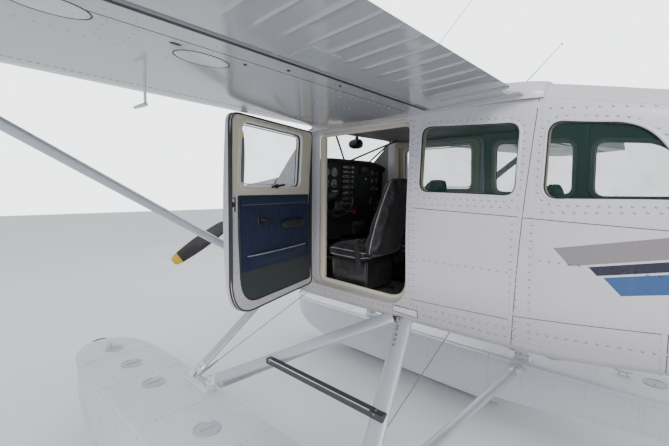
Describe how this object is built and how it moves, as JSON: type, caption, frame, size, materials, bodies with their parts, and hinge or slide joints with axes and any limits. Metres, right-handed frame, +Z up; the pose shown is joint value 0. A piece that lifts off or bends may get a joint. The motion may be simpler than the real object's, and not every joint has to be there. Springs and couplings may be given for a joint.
{
  "type": "floatplane",
  "caption": "High-wing single-engine utility floatplane on twin straight floats, with a hollow cabin, seats, hinged cabin doors, flaps, ailerons, tail surfaces and a free-turning propeller.",
  "frame": {"origin": "middle of the bounding box in plan, at the height of the float keels", "axes": "+X to port along the wing, +Y aft towards the tail, +Z up"},
  "size_m": [10.97, 8.97, 3.58],
  "materials": {
    "white_paint": "glossy white enamel on riveted skins",
    "wing_paint": "glossy light grey enamel on riveted skins",
    "float_paint": "satin light grey enamel with non-slip deck panels",
    "silver_paint": "satin silver-grey enamel",
    "bare_metal": "mill finish sheet",
    "engine_metal": "matt grey casting",
    "black_paint": "satin black",
    "black_trim": "matt black crackle",
    "floor_cover": "dark grey ribbed mat",
    "seat_cover": "black leather with grey piping",
    "green_glass": "green-tinted acrylic"
  },
  "bodies": {
    "airframe": {"nose_cowling": "white_paint", "engine_block": "engine_metal", "firewall": "bare_metal", "cabin_floor": "floor_cover", "cabin_side_left": "white_paint", "cabin_side_right": "white_paint", "aft_cabin_side_left": "white_paint", "aft_cabin_side_right": "white_paint", "cabin_roof": "white_paint", "aft_cabin_roof": "white_paint", "tail_cone": "white_paint", "windshield": "green_glass", "middle_window_left": "green_glass", "middle_window_right": "green_glass", "rear_window_left": "green_glass", "rear_window_right": "green_glass", "wing_left": "wing_paint", "wing_right": "wing_paint", "wing_strut_left": "silver_paint", "wing_strut_right": "silver_paint", "tailplane": "white_paint", "fin": "white_paint", "float_left": "float_paint", "float_right": "float_paint", "front_float_strut_left": "silver_paint", "front_float_strut_right": "silver_paint", "rear_float_strut_left": "silver_paint", "rear_float_strut_right": "silver_paint", "diagonal_float_strut_left": "silver_paint", "diagonal_float_strut_right": "silver_paint", "front_spreader_bar": "silver_paint", "rear_spreader_bar": "silver_paint", "boarding_step_left": "silver_paint", "boarding_step_right": "silver_paint", "instrument_panel": "black_trim", "front_seat_left": "seat_cover", "front_seat_right": "seat_cover", "middle_seat_left": "seat_cover", "middle_seat_right": "seat_cover", "rear_bench": "seat_cover"},
    "propeller": {"propeller_blades": "black_paint", "spinner": "white_paint"},
    "rudder": {"rudder": "white_paint"},
    "elevator": {"elevator_left": "white_paint", "elevator_right": "white_paint"},
    "aileron_left": {"aileron_left": "wing_paint"},
    "aileron_right": {"aileron_right": "wing_paint"},
    "flap_left": {"flap_left": "wing_paint"},
    "flap_right": {"flap_right": "wing_paint"},
    "front_door_left": {"front_door_left": "white_paint", "front_door_glass_left": "green_glass"},
    "front_door_right": {"front_door_right": "white_paint", "front_door_glass_right": "green_glass"},
    "water_rudder_left": {"water_rudder_left": "float_paint"},
    "water_rudder_right": {"water_rudder_right": "float_paint"}
  },
  "joints": [
    {"name": "propeller_spin", "type": "hinge", "parent": "airframe", "child": "propeller", "pos_m": [0, -3.97, 2], "axis": [0, 1, 0], "continuous": true},
    {"name": "rudder_hinge", "type": "hinge", "parent": "airframe", "child": "rudder", "pos_m": [0, 3.87, 2.13], "axis": [0, 0.1843, 0.9829], "range_deg": [-24, 24]},
    {"name": "elevator_hinge", "type": "hinge", "parent": "airframe", "child": "elevator", "pos_m": [0, 3.72, 2.345], "axis": [1, 0, 0], "range_deg": [-17, 21]},
    {"name": "aileron_left_hinge", "type": "hinge", "parent": "airframe", "child": "aileron_left", "pos_m": [2.93, -0.91952, 2.89552], "axis": [0.9952, -0.088, 0.0423], "range_deg": [-18, 18]},
    {"name": "aileron_right_hinge", "type": "hinge", "parent": "airframe", "child": "aileron_right", "pos_m": [-2.93, -0.91952, 2.89552], "axis": [0.9952, 0.088, -0.0423], "range_deg": [-18, 18]},
    {"name": "flap_left_hinge", "type": "hinge", "parent": "airframe", "child": "flap_left", "pos_m": [0.64, -0.993, 2.77511], "axis": [-0.9994, 0, -0.0344], "range_deg": [0, 40]},
    {"name": "flap_right_hinge", "type": "hinge", "parent": "airframe", "child": "flap_right", "pos_m": [-0.64, -0.993, 2.77511], "axis": [-0.9994, 0, 0.0344], "range_deg": [0, 40]},
    {"name": "front_door_left_hinge", "type": "hinge", "parent": "airframe", "child": "front_door_left", "pos_m": [0.614, -2.12, 2.1], "axis": [0, 0, 1], "range_deg": [0, 72]},
    {"name": "front_door_right_hinge", "type": "hinge", "parent": "airframe", "child": "front_door_right", "pos_m": [-0.614, -2.12, 2.1], "axis": [0, 0, 1], "range_deg": [0, 72]},
    {"name": "water_rudder_left_pivot", "type": "hinge", "parent": "airframe", "child": "water_rudder_left", "pos_m": [1.48, 1.985, 0.6], "axis": [0, 0, 1], "range_deg": [-28, 28]},
    {"name": "water_rudder_right_pivot", "type": "hinge", "parent": "airframe", "child": "water_rudder_right", "pos_m": [-1.48, 1.985, 0.6], "axis": [0, 0, 1], "range_deg": [-28, 28]}
  ],
  "couplings": [
    {"joint": "aileron_right_hinge", "follows": "aileron_left_hinge", "ratio": -1},
    {"joint": "flap_right_hinge", "follows": "flap_left_hinge", "ratio": 1},
    {"joint": "water_rudder_right_pivot", "follows": "water_rudder_left_pivot", "ratio": 1}
  ]
}
